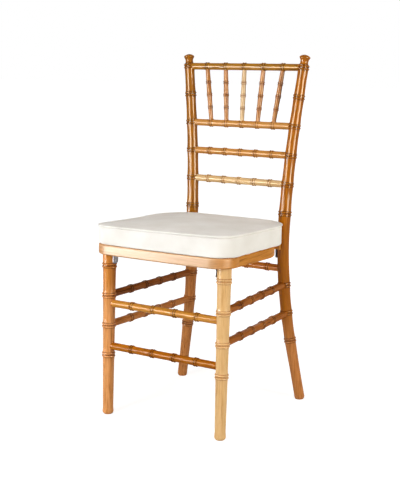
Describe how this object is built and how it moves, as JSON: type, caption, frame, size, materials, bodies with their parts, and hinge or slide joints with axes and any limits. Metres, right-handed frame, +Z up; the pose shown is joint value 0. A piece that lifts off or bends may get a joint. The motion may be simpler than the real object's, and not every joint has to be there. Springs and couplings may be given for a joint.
{
  "type": "chiavari chair",
  "caption": "Turned wooden dining chair with bamboo-like double rings, fanned spindles in an open back, turned stretchers and a loose boxed ivory seat cushion.",
  "frame": {"origin": "on the floor, below the middle of the chair's box", "axes": "+Z up; -Y to the front of the chair, where the sitter's legs are; +X to the right as seen from the front"},
  "size_m": [0.4116, 0.4393, 0.9219],
  "materials": {
    "lacquered_wood": "glossy",
    "plywood": "matte",
    "bracket_steel": "satin",
    "screw_steel": "satin",
    "cushion_cloth": "matte"
  },
  "bodies": {
    "chair": {"top_rail": "lacquered_wood", "spindle_rail": "lacquered_wood", "middle_rail": "lacquered_wood", "lower_rail": "lacquered_wood", "spindle_1": "lacquered_wood", "spindle_2": "lacquered_wood", "spindle_3": "lacquered_wood", "spindle_4": "lacquered_wood", "spindle_5": "lacquered_wood", "right_upper_stretcher": "lacquered_wood", "right_lower_stretcher": "lacquered_wood", "left_upper_stretcher": "lacquered_wood", "left_lower_stretcher": "lacquered_wood", "front_upper_stretcher": "lacquered_wood", "front_lower_stretcher": "lacquered_wood", "back_stretcher": "lacquered_wood", "seat_front_rail": "lacquered_wood", "seat_right_rail": "lacquered_wood", "seat_left_rail": "lacquered_wood", "seat_back_rail": "lacquered_wood", "front_right_leg": "lacquered_wood", "back_right_post": "lacquered_wood", "front_left_leg": "lacquered_wood", "back_left_post": "lacquered_wood", "seat_panel": "plywood", "front_right_bracket": "bracket_steel", "front_left_bracket": "bracket_steel", "back_right_bracket": "bracket_steel", "back_left_bracket": "bracket_steel", "bracket_screws": "screw_steel"},
    "cushion": {"cushion": "cushion_cloth"}
  },
  "joints": [
    {"name": "cushion_lift", "type": "slide", "parent": "chair", "child": "cushion", "axis": [0, 0, 1], "range_m": [0, 0.25]}
  ]
}
